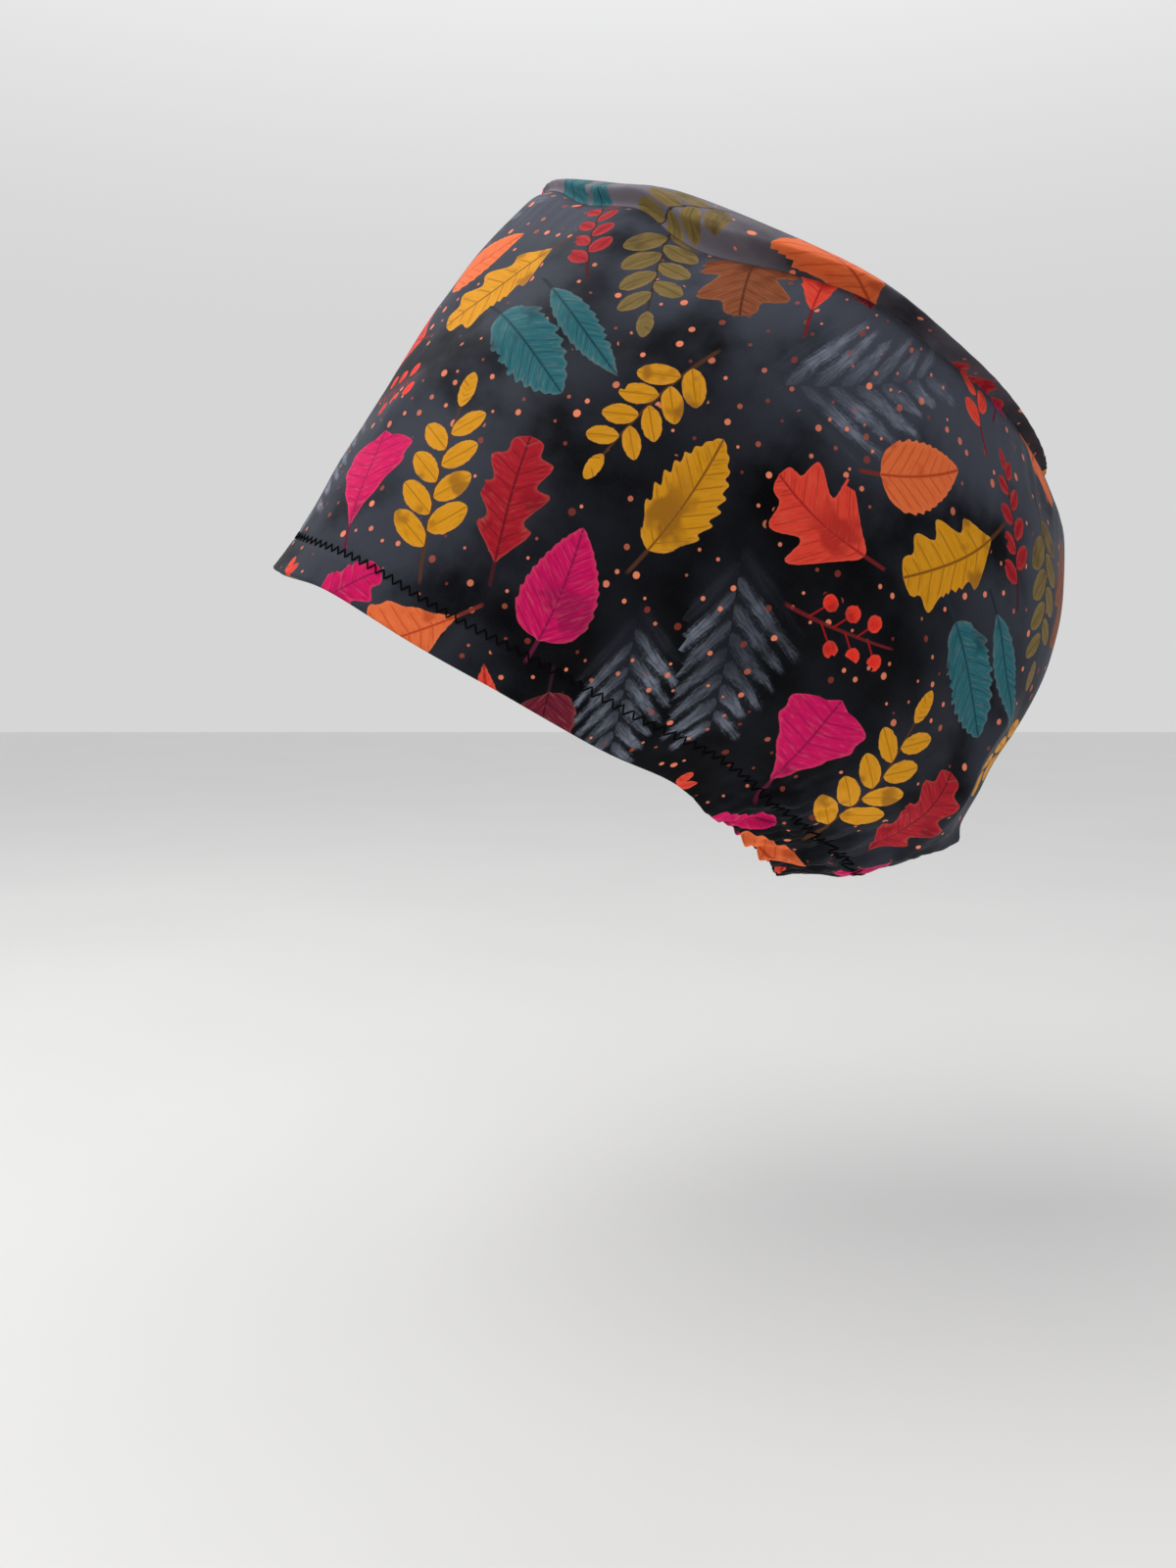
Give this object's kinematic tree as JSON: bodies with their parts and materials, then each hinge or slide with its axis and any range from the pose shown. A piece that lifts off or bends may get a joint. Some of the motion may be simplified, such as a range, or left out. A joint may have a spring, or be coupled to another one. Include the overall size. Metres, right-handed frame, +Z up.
{
  "type": "scrub cap",
  "caption": "Cloth scrub cap in its worn form: oval crown panel, full side band with room for long hair at the back, turned hem over the brow and gathered elastic nape.",
  "frame": {"origin": "centre of the head opening's edge, where the cap sits on a head", "axes": "the wearer's head upright: -Y towards the face, +X towards the wearer's left, +Z up; the opening slopes 29.5 degrees down from the brow to the nape"},
  "size_m": [0.1696, 0.2775, 0.2385],
  "materials": {
    "side_band": "smooth brushed stretch knit, charcoal with a multicoloured autumn leaf print",
    "crown_panel": "smooth brushed stretch knit, charcoal with a multicoloured autumn leaf print",
    "front_hem": "printed side of the knit, turned up inside the edge",
    "nape_casing": "printed side of the knit, turned up inside the edge and gathered on its elastic"
  },
  "bodies": {
    "root": {"side_band": "side_band", "crown_panel": "crown_panel", "front_hem": "front_hem", "nape_casing": "nape_casing"}
  },
  "joints": []
}
